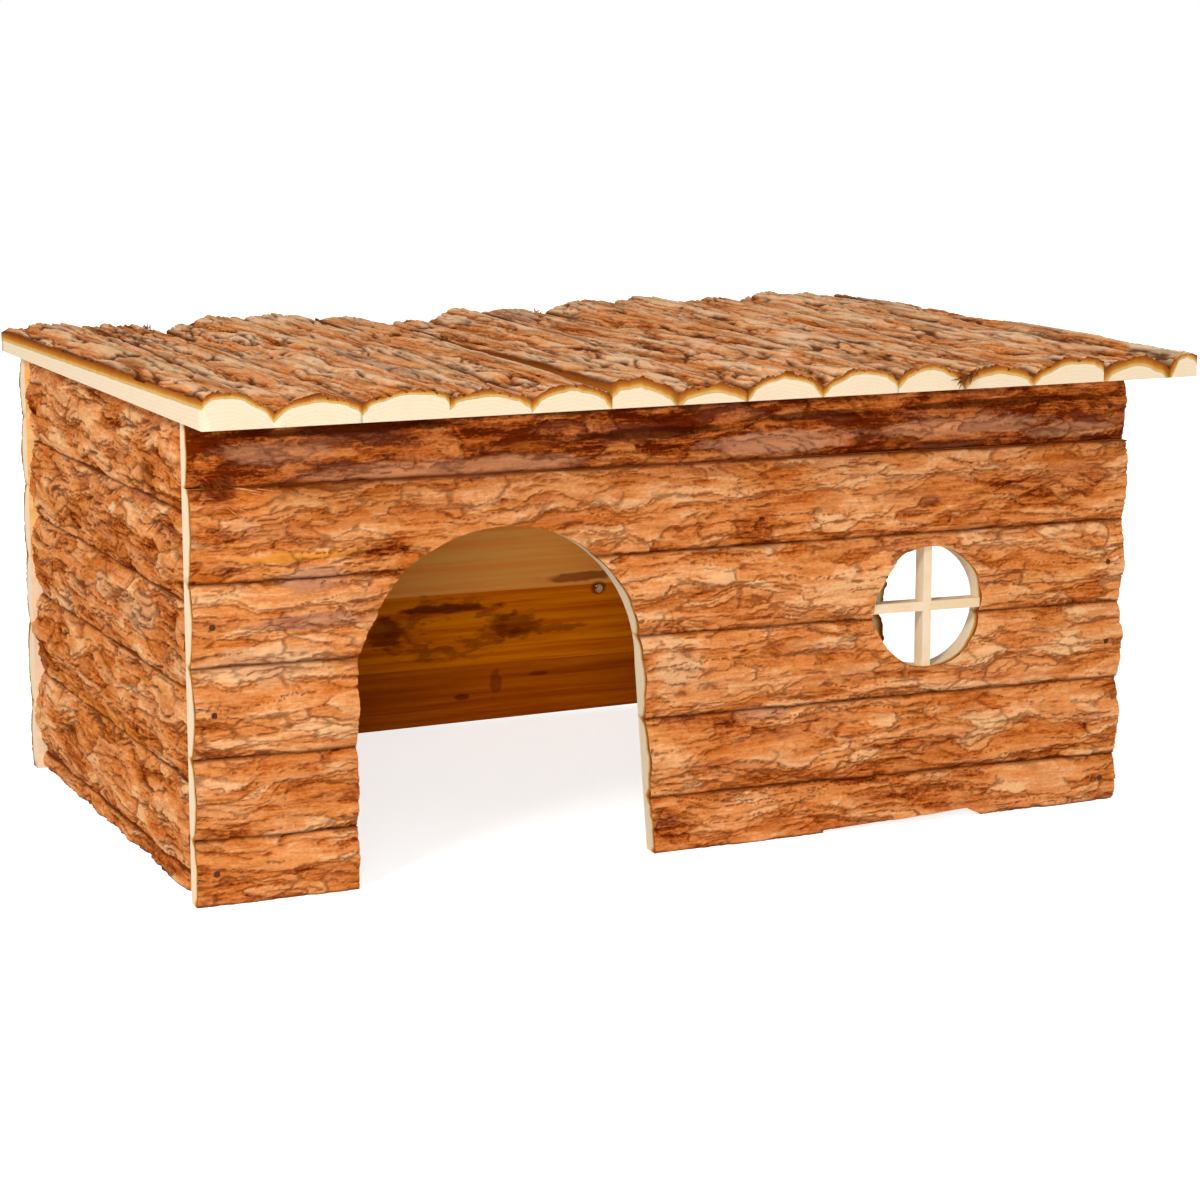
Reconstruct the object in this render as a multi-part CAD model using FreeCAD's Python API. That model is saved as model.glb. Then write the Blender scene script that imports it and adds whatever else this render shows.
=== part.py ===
import FreeCAD, Part

import math
import os
from collections import namedtuple

# A small-pet house of half-log boards that still carry their bark, in millimetres.
# +X runs along the front from left to right, +Y from the front to the back, +Z up.
# The origin is on the ground, under the middle of the roof's plan.
# Each board is sawn flat inside and round outside, and is butted and glued edge to edge with the next.
# Brads hold the front and back walls to the side walls, and the roof to the front and back walls.

# ---- driving dimensions: the shell ----
WALL_LENGTH = 404.6  # end to end of the front wall, and of the back wall
WALL_HEIGHT = 183.5  # ground to the underside of the roof
ROOM_DEPTH = 233.0  # inner face of the front wall to inner face of the back wall
WALL_THICKNESS = 10.8  # from the inner face to the highest crown of the wall boards, bark included
ROOF_THICKNESS = 13.6  # from the underside to the highest crown of the roof boards, bark included
LEFT_OVERHANG = 4.0  # roof past the left ends of the front and back walls
RIGHT_OVERHANG = 11.9  # roof past their right ends
FRONT_OVERHANG = 29.6  # roof past the thickest bark of the front wall
BACK_OVERHANG = 12.6  # roof past the thickest bark of the back wall

# ---- driving dimensions: the entrances ----
DOOR_FROM_LEFT_END = 64.1  # left end of the front wall to the door's upright side
DOOR_RADIUS = 59.5  # of the door's round head
DOOR_SPRING = 77.3  # ground to the centre of the round head
DOOR_LEAN = 5.6  # the door's right side moves out this much towards the ground
SIDE_DOOR_FROM_BACK = 45.0  # back wall's inner face to the side door
SIDE_DOOR_RADIUS = 48.0
SIDE_DOOR_SPRING = 60.0
SIDE_DOOR_LEAN = 8.0  # its rear side moves back this much towards the ground

# ---- driving dimensions: the window and its cross bars ----
WINDOW_FROM_RIGHT_END = 93.2  # right end of the front wall to the window's centre
WINDOW_HEIGHT = 90.8  # ground to the window's centre
WINDOW_RADIUS = 25.0
BAR_WIDTH = 3.9  # both bars are sticks on edge
BAR_DEPTH = 6.5
BAR_INSET = 1.0  # the front wall's inner face to the bars
BAR_SEAT = 1.5  # length of a bar's end that is let into the boards

# ---- driving dimensions: brads ----
BRAD_RADIUS = 0.8
BRAD_HEAD_RADIUS = 1.2
BRAD_HEAD_THICKNESS = 0.7
BRAD_SINK = 0.9  # how far below the bark a head is driven
WALL_BRAD_LENGTH = 28.0
ROOF_BRAD_LENGTH = 19.0
BRADDED_ROWS = (0, 2, 3, 5)  # wall rows that get a brad at each end, counted from the top

# ---- driving dimensions: wane and knot ----
FRONT_WANE_FROM_RIGHT_END = 65.3  # where the natural dip in the front wall's foot ends
FRONT_WANE_LENGTH = 74.4
FRONT_WANE_HEIGHT = 3.7
BACK_WANE_FROM_RIGHT_END = 46.0
BACK_WANE_LENGTH = 262.0
BACK_WANE_HEIGHT = 3.4
WANE_RUN_OUT = 7.3  # length over which a dip comes back to the ground
WANE_START = 0.3  # a dip begins with a step of this share of its height
KNOT_HOLE_RADIUS = 2.0
KNOT_HOLE_FROM_RIGHT_END = 132.0
KNOT_HOLE_HEIGHT = 60.5  # ground to the knot hole in the back wall

# ---- driving dimensions: the bark's ridges ----
RIDGED_WIDTH = 20.0  # a narrower board's bark is one ridge, and a wider one's is three
FURROWS = (0.31, 0.68)  # where the furrows between the ridges lie, as shares of the board's width
FURROW_WANDER = 0.09  # how far they stray to either side, as a share of the width
FURROW_DEPTH = 1.2
END_FURROW_DEPTH = 0.5  # at the board's sawn ends, where the ridges run out
SECTIONS = 5  # places along a board, both ends among them, at which its furrows turn
ROW_TURN = 2.1  # radians by which the wander moves on from one board to the next
SECTION_TURN = 2.6  # and from one section to the next
FURROW_TURN = 1.5  # and from one furrow to the next

# A board's width at its near and far end. The stack of a wall or roof is fitted to its height or
# length, so these set each board's share of it. The drops say how far the bark lies under the wall's
# or roof's highest crown at the board's first edge, at its own crown and at its second edge. A board
# with no far drops has the near ones at both ends.
Board = namedtuple("Board", "near_width far_width near_drops far_drops", defaults=(None,))

# Walls are listed from the top board down, so a board's first edge is its upper one.
FRONT_BOARDS = (
    Board(25.5, 29.3, (4.8, 2.4, 4.6)),
    Board(35.5, 33.4, (1.8, 0.0, 3.4)),
    Board(31.5, 35.1, (3.4, 0.2, 4.6)),
    Board(34.8, 32.4, (5.0, 0.0, 4.8)),
    Board(30.9, 33.3, (5.0, 0.8, 4.8)),
    Board(25.3, 20.0, (4.8, 1.6, 3.4)),
)
BACK_BOARDS = (
    Board(27.0, 24.5, (4.6, 0.8, 4.4)),
    Board(30.0, 31.5, (4.4, 0.4, 4.8)),
    Board(31.5, 33.0, (4.8, 0.0, 4.4)),
    Board(30.2, 32.3, (4.2, 0.4, 4.8)),
    Board(35.2, 34.0, (4.8, 0.0, 4.6)),
    Board(29.6, 28.2, (4.4, 0.8, 3.8)),
)
LEFT_BOARDS = (
    Board(36.8, 37.2, (4.4, 0.0, 4.2)),
    Board(33.6, 32.8, (4.0, 0.0, 4.2)),
    Board(33.4, 34.6, (4.2, 0.0, 4.4)),
    Board(35.6, 35.0, (4.2, 0.0, 4.0)),
    Board(36.6, 36.2, (4.2, 0.0, 4.4)),
    Board(7.5, 7.7, (4.0, 3.2, 4.0)),
)
RIGHT_BOARDS = (
    Board(35.4, 36.6, (4.4, 0.2, 4.2)),
    Board(34.2, 33.2, (4.2, 0.0, 4.4)),
    Board(33.8, 32.8, (4.0, 0.0, 4.2)),
    Board(33.6, 35.2, (4.4, 0.0, 4.2)),
    Board(32.2, 31.4, (4.2, 0.2, 4.4)),
    Board(14.3, 14.3, (4.0, 1.8, 4.0)),
)
# The roof is listed from left to right, so a board's first edge is its left one.
ROOF_BOARDS = (
    Board(26.7, 39.2, (1.8, 0.0, 7.6), (4.8, 2.4, 4.2)),
    Board(33.5, 35.5, (7.6, 2.6, 7.0), (4.2, 4.0, 8.7)),
    Board(33.6, 34.3, (7.0, 2.0, 4.6), (8.7, 2.0, 4.2)),
    Board(32.9, 35.8, (6.4, 3.8, 8.2), (4.2, 2.4, 6.0)),
    Board(32.3, 33.6, (8.4, 3.0, 9.2), (5.8, 5.0, 8.8)),
    Board(27.3, 21.7, (4.0, 2.6, 9.0), (9.0, 7.6, 9.4)),
    Board(29.6, 25.5, (9.2, 5.4, 9.4), (9.0, 3.2, 6.0)),
    Board(32.4, 34.1, (9.4, 3.2, 9.6), (5.8, 4.3, 7.4)),
    Board(33.2, 33.7, (9.6, 2.8, 7.6), (7.2, 1.6, 3.8)),
    Board(29.4, 33.3, (7.6, 2.4, 9.0), (3.6, 0.8, 4.4)),
    Board(32.2, 35.5, (9.2, 4.6, 9.2), (4.4, 2.4, 4.8)),
    Board(32.6, 27.5, (9.4, 3.2, 5.4), (4.6, 1.3, 3.2)),
    Board(31.9, 24.3, (9.2, 3.8, 9.6), (3.2, 2.5, 4.2)),
    Board(12.9, 6.5, (9.6, 3.6, 5.0), (4.2, 3.4, 4.0)),
)

# ---- places that follow from the driving dimensions ----
ROOF_LENGTH = WALL_LENGTH + LEFT_OVERHANG + RIGHT_OVERHANG
ROOF_DEPTH = FRONT_OVERHANG + WALL_THICKNESS + ROOM_DEPTH + WALL_THICKNESS + BACK_OVERHANG
ROOF_LEFT = -ROOF_LENGTH / 2
ROOF_FRONT = -ROOF_DEPTH / 2
WALL_LEFT = ROOF_LEFT + LEFT_OVERHANG
WALL_RIGHT = WALL_LEFT + WALL_LENGTH
FRONT_INNER = ROOF_FRONT + FRONT_OVERHANG + WALL_THICKNESS
BACK_INNER = FRONT_INNER + ROOM_DEPTH
LEFT_INNER = WALL_LEFT + WALL_THICKNESS
RIGHT_INNER = WALL_RIGHT - WALL_THICKNESS
DOOR_LEFT = WALL_LEFT + DOOR_FROM_LEFT_END
WINDOW_X = WALL_RIGHT - WINDOW_FROM_RIGHT_END
SIDE_DOOR_CENTRE = BACK_INNER - SIDE_DOOR_FROM_BACK - SIDE_DOOR_RADIUS
CUT_MARGIN = WALL_THICKNESS  # how far a cutting tool runs past the wall it cuts

X_AXIS = FreeCAD.Vector(1, 0, 0)
Y_AXIS = FreeCAD.Vector(0, 1, 0)
Z_AXIS = FreeCAD.Vector(0, 0, 1)


def between(one, other, share):
    return one + (other - one) * share


def stack_edges(widths, row, height):
    """Both edges of one board in a stack that is fitted to a height."""
    scale = height / sum(widths)
    return sum(widths[:row]) * scale, sum(widths[:row + 1]) * scale


class Panel:
    """A wall or the roof: boards side by side on a flat inner plane, with their bark outward."""

    def __init__(self, boards, corner, along, across, outward, length, height, thickness):
        self.boards = boards
        self.corner = corner
        self.along = along
        self.across = across
        self.outward = outward
        self.length = length
        self.height = height
        self.thickness = thickness

    def point(self, along, across, outward):
        return self.corner + self.along * along + self.across * across + self.outward * outward

    def edges(self, row, share):
        """Both edges of a board, across the panel, at a share of the panel's length."""
        near = stack_edges([board.near_width for board in self.boards], row, self.height)
        far = stack_edges([board.far_width for board in self.boards], row, self.height)
        return [between(near_edge, far_edge, share) for near_edge, far_edge in zip(near, far)]

    def middle(self, row, share):
        first, second = self.edges(row, share)
        return (first + second) / 2

    def log_height(self, row, share, place):
        """The log's height over the inner plane at a share of its width, furrows apart."""
        board = self.boards[row]
        drops = zip(board.near_drops, board.far_drops or board.near_drops)
        first, crown, second = [self.thickness - between(near, far, share) for near, far in drops]
        # the parabola through the heights of both edges and of the crown half way
        slope = 4 * crown - 3 * first - second
        bend = 2 * (first + second - 2 * crown)
        return first + slope * place + bend * place ** 2

    def crown(self, row, share):
        return self.log_height(row, share, 0.5)

    def furrows(self, row, station):
        """Where the furrows lie at one of a board's sections, as shares of its width."""
        if self.boards[row].near_width < RIDGED_WIDTH:
            return []
        turn = ROW_TURN * row + SECTION_TURN * station
        return [furrow + FURROW_WANDER * math.sin(turn + FURROW_TURN * number)
                for number, furrow in enumerate(FURROWS)]

    def section(self, row, station):
        """A section of a board: the corners round its three sawn sides, and the arcs of its ridges."""
        share = station / (SECTIONS - 1)
        first, second = self.edges(row, share)
        depth = END_FURROW_DEPTH if share in (0.0, 1.0) else FURROW_DEPTH

        def bark_point(place, sunk):
            height = self.log_height(row, share, place) - sunk
            return self.point(self.length * share, between(first, second, place), height)

        along = self.length * share
        corners = [
            bark_point(0.0, 0.0),
            self.point(along, first, 0),
            self.point(along, second, 0),
            bark_point(1.0, 0.0),
        ]
        places = [0.0, *self.furrows(row, station), 1.0]
        feet = [corners[0], *[bark_point(place, depth) for place in places[1:-1]], corners[-1]]
        ridges = []
        for number in range(len(places) - 1):
            crest = bark_point((places[number] + places[number + 1]) / 2, 0.0)
            ridges.append(Part.Arc(feet[number + 1], crest, feet[number]).toShape())
        return corners, ridges[::-1]

    def board(self, row):
        sections = [self.section(row, station) for station in range(SECTIONS)]
        faces = []
        for (_, nearer), (_, farther) in zip(sections, sections[1:]):
            faces += [Part.makeRuledSurface(*ridge) for ridge in zip(nearer, farther)]
        for corners, ridges in (sections[0], sections[-1]):
            faces.append(Part.Face(Part.Wire(Part.makePolygon(corners).Edges + ridges)))
        # the edges between bark and sawn sides pass every section, and those on the inner plane do not
        bark_edge = range(SECTIONS)
        inner_edge = (0, SECTIONS - 1)
        for side, (one, other) in enumerate([(bark_edge, inner_edge), (inner_edge, inner_edge),
                                             (inner_edge, bark_edge)]):
            outline = [sections[station][0][side] for station in one]
            outline += [sections[station][0][side + 1] for station in reversed(other)]
            faces.append(Part.Face(Part.makePolygon(outline + outline[:1])))
        solid = Part.makeSolid(Part.makeShell(faces))
        return solid if solid.Volume > 0 else solid.reversed()

    def board_solids(self):
        return [self.board(row) for row in range(len(self.boards))]


def wall_panel(boards, corner_x, corner_y, along, outward, length):
    corner = FreeCAD.Vector(corner_x, corner_y, WALL_HEIGHT)
    return Panel(boards, corner, along, -Z_AXIS, outward, length, WALL_HEIGHT, WALL_THICKNESS)


FRONT = wall_panel(FRONT_BOARDS, WALL_LEFT, FRONT_INNER, X_AXIS, -Y_AXIS, WALL_LENGTH)
BACK = wall_panel(BACK_BOARDS, WALL_LEFT, BACK_INNER, X_AXIS, Y_AXIS, WALL_LENGTH)
LEFT = wall_panel(LEFT_BOARDS, LEFT_INNER, FRONT_INNER, Y_AXIS, -X_AXIS, ROOM_DEPTH)
RIGHT = wall_panel(RIGHT_BOARDS, RIGHT_INNER, FRONT_INNER, Y_AXIS, X_AXIS, ROOM_DEPTH)
ROOF = Panel(ROOF_BOARDS, FreeCAD.Vector(ROOF_LEFT, ROOF_FRONT, WALL_HEIGHT), Y_AXIS, X_AXIS, Z_AXIS,
             ROOF_DEPTH, ROOF_LENGTH, ROOF_THICKNESS)


def arch(low, high, spring, lean, place, depth):
    """A doorway cutter: a round head over two sides, of which the second may lean out at the foot.

    place turns a distance along the wall and a height into a point, and depth is the way through.
    """
    radius = (high - low) / 2
    foot = -CUT_MARGIN
    lean_at_foot = lean * (spring - foot) / spring
    head = Part.Arc(place(high, spring), place(low + radius, spring + radius), place(low, spring))
    outline = Part.Wire([
        Part.makeLine(place(low, foot), place(high + lean_at_foot, foot)),
        Part.makeLine(place(high + lean_at_foot, foot), place(high, spring)),
        head.toShape(),
        Part.makeLine(place(low, spring), place(low, foot)),
    ])
    return Part.Face(outline).extrude(depth)


def front_door_cutter():
    start = FRONT_INNER + CUT_MARGIN
    depth = -Y_AXIS * (WALL_THICKNESS + 2 * CUT_MARGIN)
    return arch(DOOR_LEFT, DOOR_LEFT + 2 * DOOR_RADIUS, DOOR_SPRING, DOOR_LEAN,
                lambda x, z: FreeCAD.Vector(x, start, z), depth)


def side_door_cutter():
    start = RIGHT_INNER - CUT_MARGIN
    depth = X_AXIS * (WALL_THICKNESS + 2 * CUT_MARGIN)
    return arch(SIDE_DOOR_CENTRE - SIDE_DOOR_RADIUS, SIDE_DOOR_CENTRE + SIDE_DOOR_RADIUS, SIDE_DOOR_SPRING,
                SIDE_DOOR_LEAN, lambda y, z: FreeCAD.Vector(start, y, z), depth)


def window_cutter():
    start = FreeCAD.Vector(WINDOW_X, FRONT_INNER + CUT_MARGIN, WINDOW_HEIGHT)
    return Part.makeCylinder(WINDOW_RADIUS, WALL_THICKNESS + 2 * CUT_MARGIN, start, -Y_AXIS)


def bar():
    """A stick across the window, lying along X."""
    length = 2 * (WINDOW_RADIUS + BAR_SEAT)
    front_y = FRONT_INNER - BAR_INSET - BAR_DEPTH
    corner = FreeCAD.Vector(WINDOW_X - length / 2, front_y, WINDOW_HEIGHT - BAR_WIDTH / 2)
    return Part.makeBox(length, BAR_DEPTH, BAR_WIDTH, corner)


def window_bars():
    """Two bars halved into each other where they cross; there the level one keeps its front half."""
    centre = FreeCAD.Vector(WINDOW_X, FRONT_INNER, WINDOW_HEIGHT)
    upright = bar()
    upright.rotate(centre, Y_AXIS, 90)
    level = bar()
    # the level bar follows the slope of the joint under it
    joint_fall = FRONT.edges(2, 1.0)[1] - FRONT.edges(2, 0.0)[1]
    level.rotate(centre, Y_AXIS, math.degrees(math.atan2(joint_fall, WALL_LENGTH)))
    crossing = upright.common(level)
    rear_half = crossing.common(crossing.translated(Y_AXIS * BAR_DEPTH / 2))
    front_half = crossing.cut(rear_half)
    return {"window_bar_level": level.cut(rear_half), "window_bar_upright": upright.cut(front_half)}


def wane_cutter(right, length, height, inner_y, outward):
    """The long shallow dip that a board's natural edge leaves at the foot of a wall."""
    start = inner_y - outward * CUT_MARGIN
    points = [
        FreeCAD.Vector(right - length, start, -CUT_MARGIN),
        FreeCAD.Vector(right - length, start, height * WANE_START),
        FreeCAD.Vector(right - WANE_RUN_OUT, start, height),
        FreeCAD.Vector(right, start, 0),
        FreeCAD.Vector(right, start, -CUT_MARGIN),
    ]
    outline = Part.makePolygon(points + points[:1])
    return Part.Face(outline).extrude(Y_AXIS * outward * (WALL_THICKNESS + 2 * CUT_MARGIN))


def knot_hole_cutter():
    start = FreeCAD.Vector(WALL_RIGHT - KNOT_HOLE_FROM_RIGHT_END, BACK_INNER - CUT_MARGIN, KNOT_HOLE_HEIGHT)
    return Part.makeCylinder(KNOT_HOLE_RADIUS, WALL_THICKNESS + 2 * CUT_MARGIN, start, Y_AXIS)


def brad(head, direction, length):
    """A brad, and the hole it leaves: its own shape, open to the bark over its sunk head."""
    shank = Part.makeCylinder(BRAD_RADIUS, length, head, direction)
    cap = Part.makeCylinder(BRAD_HEAD_RADIUS, BRAD_HEAD_THICKNESS, head, direction)
    solid = shank.fuse(cap).removeSplitter()
    mouth = Part.makeCylinder(BRAD_HEAD_RADIUS, BRAD_SINK + CUT_MARGIN, head, -direction)
    return solid, solid.fuse(mouth).removeSplitter()


def wall_brads(panel):
    """The brads of the front or back wall: they run through its ends into the side walls' boards."""
    # in the middle of the side boards' thinnest part
    side_edge = WALL_THICKNESS - max(board.near_drops[0] for board in LEFT_BOARDS)
    inset = WALL_THICKNESS - side_edge / 2
    brads = []
    for row in BRADDED_ROWS:
        for along in (inset, WALL_LENGTH - inset):
            share = along / WALL_LENGTH
            head = panel.point(along, panel.middle(row, share), panel.crown(row, share) - BRAD_SINK)
            brads.append(brad(head, -panel.outward, WALL_BRAD_LENGTH))
    return brads


def roof_brads():
    """A brad in the front wall and one in the back wall through the middle of each roof board.

    Past the side walls' inner faces there are none, since the brads in the walls' ends lie there.
    """
    brads = []
    for wall in (FRONT, BACK):
        edge_thickness = WALL_THICKNESS - wall.boards[0].near_drops[0]
        y = wall.corner.y + wall.outward.y * edge_thickness / 2
        share = (y - ROOF_FRONT) / ROOF_DEPTH
        for row in range(len(ROOF_BOARDS)):
            x = ROOF_LEFT + ROOF.middle(row, share)
            if LEFT_INNER < x < RIGHT_INNER:
                head = FreeCAD.Vector(x, y, WALL_HEIGHT + ROOF.crown(row, share) - BRAD_SINK)
                brads.append(brad(head, -Z_AXIS, ROOF_BRAD_LENGTH))
    return brads


def cut(solid, cutters):
    """The solid less every cutter that reaches it."""
    near = [cutter for cutter in cutters if cutter.BoundBox.intersect(solid.BoundBox)]
    return solid.cut(near) if near else solid


def wall_nodes(panel, name, cutters, doorway_middle=0.0, side_names=()):
    """A node for each board, or one for each side of the doorway where that cuts the board in two."""
    nodes = {}
    for row, solid in enumerate(panel.board_solids(), start=1):
        node = f"{name}_board_{row}"
        sides = ([], [])
        for piece in cut(solid, cutters).Solids:
            along = (piece.CenterOfMass - panel.corner).dot(panel.along)
            sides[int(along > doorway_middle)].append(piece)
        if all(sides):
            for side_name, pieces in zip(side_names, sides):
                nodes[f"{node}_{side_name}"] = Part.makeCompound(pieces)
        else:
            nodes[node] = Part.makeCompound(sides[0] + sides[1])
    return nodes


def house():
    front_brads = wall_brads(FRONT)
    back_brads = wall_brads(BACK)
    top_brads = roof_brads()
    holes = [hole for _, hole in front_brads + back_brads + top_brads]
    bars = window_bars()
    front_wane = wane_cutter(WALL_RIGHT - FRONT_WANE_FROM_RIGHT_END, FRONT_WANE_LENGTH, FRONT_WANE_HEIGHT,
                             FRONT_INNER, -1)
    back_wane = wane_cutter(WALL_RIGHT - BACK_WANE_FROM_RIGHT_END, BACK_WANE_LENGTH, BACK_WANE_HEIGHT,
                            BACK_INNER, 1)
    front_cutters = [front_door_cutter(), window_cutter(), front_wane, *bars.values(), *holes]

    nodes = {}
    for row, solid in enumerate(ROOF.board_solids(), start=1):
        nodes[f"roof_board_{row:02d}"] = cut(solid, holes)
    nodes.update(wall_nodes(FRONT, "front", front_cutters, DOOR_FROM_LEFT_END + DOOR_RADIUS, ("left", "right")))
    nodes.update(wall_nodes(BACK, "back", [back_wane, knot_hole_cutter(), *holes]))
    nodes.update(wall_nodes(LEFT, "left_side", holes))
    nodes.update(wall_nodes(RIGHT, "right_side", [side_door_cutter(), *holes], SIDE_DOOR_CENTRE - FRONT_INNER,
                            ("front", "rear")))
    nodes.update(bars)
    nodes["front_wall_brads"] = Part.makeCompound([solid for solid, _ in front_brads])
    nodes["back_wall_brads"] = Part.makeCompound([solid for solid, _ in back_brads])
    nodes["roof_brads"] = Part.makeCompound([solid for solid, _ in top_brads])
    return nodes


os.makedirs("parts", exist_ok=True)
for node, shape in house().items():
    shape.exportStep(f"parts/{node}.step")
    print(f"{node}: {len(shape.Solids)} solid(s), {shape.Volume:.0f} mm3, valid {shape.isValid()}")
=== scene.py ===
import math
from collections import namedtuple

import bmesh
import bpy
import numpy as np
from numpy.lib.stride_tricks import sliding_window_view
from mathutils import Matrix, Vector
from mathutils.bvhtree import BVHTree


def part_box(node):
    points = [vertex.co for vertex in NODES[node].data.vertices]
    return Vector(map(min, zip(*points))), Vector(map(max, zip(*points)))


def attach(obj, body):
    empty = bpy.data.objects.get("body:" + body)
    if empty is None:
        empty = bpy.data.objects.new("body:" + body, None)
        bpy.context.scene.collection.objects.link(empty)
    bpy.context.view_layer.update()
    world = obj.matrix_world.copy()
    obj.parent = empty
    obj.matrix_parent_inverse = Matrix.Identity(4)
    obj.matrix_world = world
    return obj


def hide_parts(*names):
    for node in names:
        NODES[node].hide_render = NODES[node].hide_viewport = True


# The looks of a small-pet house of half-log bark boards. The frame gives every size and place:
# +X along the front, +Y to the back, +Z up, in metres. Bark sizes below are in millimetres.

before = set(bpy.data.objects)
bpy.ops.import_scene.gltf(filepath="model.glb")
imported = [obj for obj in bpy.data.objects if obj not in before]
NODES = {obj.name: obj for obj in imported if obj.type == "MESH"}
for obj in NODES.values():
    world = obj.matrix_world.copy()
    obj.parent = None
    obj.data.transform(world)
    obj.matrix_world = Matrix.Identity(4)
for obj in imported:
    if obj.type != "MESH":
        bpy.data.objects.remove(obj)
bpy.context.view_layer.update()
MM = 0.001
TINY = 2e-5  # metres; vertices closer than this to a plane lie in it
WELD = TINY / 10  # vertices closer than this are one

# ---- the photograph's camera ----
LENS = 92.46  # mm
SENSOR_WIDTH = 36.0  # mm
CAMERA_PLACE = Vector((-0.5254, -1.1885, 0.3262))
CAMERA_YAW = math.radians(24.274)  # turned from +Y towards +X
CAMERA_PITCH = math.radians(10.663)  # tipped down
CAMERA_ROLL = math.radians(0.010)

# ---- bark ----
SEAM_CHANGE = 18 * MM  # the way along a joint over which the reach of its painted shade changes
SEAM_VARIETY = 0.8  # share by which a joint's painted shade reaches less or more far
BLANKET_MARGIN = 1.6 * MM  # the dense surface runs this far past a board before it is trimmed
PRISM_ROOM = 4.0 * MM  # the trimming prism stands this far over the bark
WALL_CELL = 4.0 * MM  # spacing of vertices on sawn faces
FLAT_ANGLE = 0.01  # radians; edges that bend less are left out of a sawn face's outline
CREASE_ANGLE = math.radians(55)  # edges that bend more are sharp
RAY_START = 40 * MM  # the solids are sampled from this far over their inner plane
SLOPE_REACH = 0.5 * MM  # the bark's slope is read this far to either side
CUT_SLANT = 0.01  # faces cut through the bark stand square to the board, to within this sine
PIT_RADIUS = 1.2 * MM  # of the hole in the bark over a brad's sunk head
PIT_SLOPE = 0.5 * MM
PIT_FLOOR = 0.1 * MM  # below the top of the head
# how dark the pit is painted, as shade in the hole over the head
PIT_PAINTED_SHADE = 0.4
SHADES = 89  # the most different patterns of colour that boards can have

# Sizes in mm of the sheets, flakes and strands that the bark peels in, how fine the sheets' edges are, how
# far the grain wanders and how ragged it is, how much of the bark is loose, split or stringy, how wide its
# splits are as a level of noise, how rough it is as a whole, and how far from a joint in mm its painted
# shade reaches.
Bark = namedtuple("Bark", "sheet_length sheet_width octaves flake_length flake_width wander jag loose "
                          "split stringy strand_length strand_width gap rough seam")
ROOF_BARK = Bark(110.0, 9.0, 3, 60.0, 5.0, 2.2, 0.24, -0.10, 0.70, 0.70, 90.0, 3.2, 0.19, 1.25, 2.2)
FRONT_BARK = Bark(46.0, 9.5, 4, 17.0, 4.6, 3.4, 0.65, 0.20, 0.10, 0.35, 22.0, 2.8, 0.09, 1.15, 1.4)
SIDE_BARK = Bark(44.0, 11.0, 4, 30.0, 7.5, 4.0, 0.45, 0.22, 0.35, 0.35, 30.0, 3.5, 0.14, 1.35, 1.1)
SHEET_EDGES = (-0.30, 0.02, 0.34)  # noise levels at which one more sheet of bark is left
SHEET_FADE = 0.05  # noise levels over which a sheet's edge drops
SHEET_STACK = 1.1  # mm, the thickness of all the sheets
EDGE_SHADE = 0.8  # mm below a sheet's edge that is painted dark as shadow

# The patterns in all bark: sizes in mm along and across the grain, and what they do.
DRIFT_SIZE = (34, 17)
DRIFT = 6.0  # mm that the pattern is pulled along the grain
RAGGED_SIZE = (5, 2.6)
RAGGED = 1.4  # times the jag across the grain
WANDER_SIZE = (40, 18)
JAG_SIZE = (4.6, 2.2)
LOOSE_SIZE = (30, 12)
LOOSE_LEVELS = (0.02, 0.30)  # noise at which the bark starts to come loose, and is fully loose
TORN_SIZE = (60, 8)
TORN_LEVELS = (0.10, 0.30)
FISSURE_SIZE = (70, 4.2)
SMALL_FISSURE_SIZE = (15, 1.9)
SMALL_FISSURES = 0.28  # share of the large ones
FISSURE_FLOOR = 0.2  # share of a fissure's width that is its floor
CRACK_LEADS = (0.16, 0.03)  # cells' leads at a crack's rim and at its floor
CRACK_SHARE = 0.75  # depth of a crack between flakes, as a share of a fissure's
FINE_STRANDS = (2.2, 2, 0.5)  # how many times finer, along and across, and their share
FURROW_LEVELS = (-0.12, -0.62)
FINE_SIZE = (2.6, 0.8)
FINE_STRETCH = 8.0  # mm that the finest pattern is longer where bark is all strings
FLAKE_STEP = 0.30  # mm, and so are the heights below
FLAKE_TILT = 0.22
CUT_DEPTH = 0.85
SHADE_DEPTH = 0.15
FINE_HEIGHT = 0.09
STRAND_HEIGHT = 0.34
STRAND_RANGE = (-1.0, 0.12)  # strands are flat above the second level
# how dark the painted shadow below the sheets' edges is
SHADE_DARKNESS = 0.85
FURROW_DARKNESS = 0.6

# How thick the bark is on each board in mm, and how much lighter or darker than usual the board is.
ROOF_LAYERS = (2.2, 2.3, 1.9, 2.4, 2.6, 3.6, 3.8, 2.0, 2.2, 2.5, 3.2, 2.5, 3.8, 1.8)
ROOF_TONES = (0.02, -0.03, 0.02, 0.02, 0.0, -0.03, 0.02, 0.02, 0.0, 0.0, 0.0, 0.03, 0.02, 0.05)
WALL_LAYERS = (2.0,) * 6
# The front's top row is darker: partly its own darker bark, partly painted shade of the roof's overhang.
FRONT_TONES = (-0.42, -0.01, 0.06, 0.12, 0.02, -0.03)
LEFT_TONES = (0.05, -0.02, 0.0, -0.02, 0.01, -0.04)
PLAIN_TONES = (0.0,) * 6

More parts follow.
